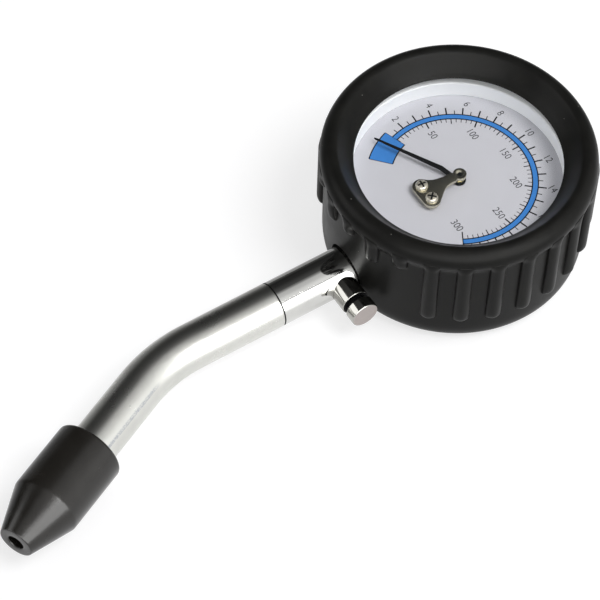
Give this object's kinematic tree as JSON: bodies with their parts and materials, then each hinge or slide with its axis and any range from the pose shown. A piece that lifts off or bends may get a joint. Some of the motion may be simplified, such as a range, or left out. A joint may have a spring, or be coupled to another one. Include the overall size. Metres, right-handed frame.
{
  "type": "compression tester",
  "caption": "Push-on engine compression tester: dial gauge in a ribbed rubber boot, side release button, bent plated stem and tapered rubber cone with a check valve.",
  "frame": {"origin": "centre of the rubber boot's flat back face, on the gauge's axis", "axes": "+Z along the gauge's axis out of the dial, -Y along the stem (6 o'clock), +X towards 3 o'clock, the side of the release button and of the bend"},
  "size_m": [0.0776, 0.198, 0.0404],
  "materials": {
    "boot_rubber": "matt, slightly waxy",
    "cone_rubber": "matt",
    "case_black": "gloss black",
    "gasket": "matt fibre",
    "lens_clear": "clear, polished",
    "ring_white": "matt white",
    "dial_face": "fine satin with printed scales",
    "bright_steel": "polished",
    "pointer_black": "satin black",
    "brass": "turned",
    "steel": "ground",
    "bronze": "drawn",
    "chrome": "polished plate",
    "button_satin": "satin plate",
    "tube_satin": "satin plate",
    "seal_rubber": "moulded"
  },
  "bodies": {
    "housing": {"rubber_boot": "boot_rubber", "gauge_case": "case_black", "bezel_ring": "case_black", "lens_gasket": "gasket", "lens": "lens_clear", "inner_ring": "ring_white", "dial_plate": "dial_face", "front_bridge": "bright_steel", "bridge_screws": "bright_steel", "hairspring_stud": "brass", "front_plate": "brass", "back_plate": "brass", "plate_pillars": "brass", "plate_screws": "bright_steel", "bourdon_tube": "bronze", "gauge_socket": "brass", "socket_screws": "bright_steel", "stub_washer": "gasket", "connector_body": "chrome", "spigot_ring": "seal_rubber", "valve_collar": "chrome", "release_spring": "steel", "bent_tube": "tube_satin", "rubber_cone": "cone_rubber", "valve_body": "brass", "valve_retainer": "brass", "valve_spring": "steel"},
    "pointer_set": {"pointer": "pointer_black", "pointer_hub": "brass", "pointer_arbour": "steel", "hairspring": "bronze"},
    "sector_set": {"sector_gear": "brass", "sector_arbour": "steel", "tail_pin": "steel"},
    "tube_tip": {"tip_block": "brass", "tip_pin": "steel"},
    "link_bar": {"link": "steel"},
    "button_set": {"button_head_cap": "button_satin", "release_plunger": "brass", "release_seal": "seal_rubber"},
    "poppet_set": {"valve_poppet": "brass", "poppet_seal": "seal_rubber"}
  },
  "joints": [
    {"name": "pointer_turn", "type": "hinge", "parent": "housing", "child": "pointer_set", "pos_m": [0.0011, 0, 0], "axis": [0, 0, -1], "range_deg": [0, 240], "stiffness_Nm_per_rad": 0.00002, "springref_deg": -17.19, "deforming": ["hairspring"]},
    {"name": "sector_turn", "type": "hinge", "parent": "housing", "child": "sector_set", "pos_m": [0.0095, -0.01455, 0], "axis": [0, 0, 1], "range_deg": [0, 34.29]},
    {"name": "tube_tip_swing", "type": "hinge", "parent": "housing", "child": "tube_tip", "pos_m": [0.0038, 0.00759, 0], "axis": [0, 0, 1], "range_deg": [0, 7.6], "deforming": ["bourdon_tube"]},
    {"name": "link_swing", "type": "hinge", "parent": "tube_tip", "child": "link_bar", "pos_m": [0.02077, -0.00303, 0], "axis": [0, 0, -1], "range_deg": [0, 7.6]},
    {"name": "release_button_slide", "type": "slide", "parent": "housing", "child": "button_set", "axis": [-1, 0, 0], "range_m": [0, 0.0014], "stiffness_N_per_m": 900, "springref_m": -0.0015, "deforming": ["release_spring"]},
    {"name": "check_valve_slide", "type": "slide", "parent": "housing", "child": "poppet_set", "axis": [-0.4226, 0.9063, 0], "range_m": [0, 0.0015], "stiffness_N_per_m": 200, "springref_m": -0.0015, "deforming": ["valve_spring"]}
  ],
  "couplings": [
    {"joint": "sector_turn", "follows": "pointer_turn", "ratio": 0.14286},
    {"joint": "tube_tip_swing", "follows": "pointer_turn", "ratio": 0.031665},
    {"joint": "link_swing", "follows": "pointer_turn", "ratio": 0.031665}
  ]
}
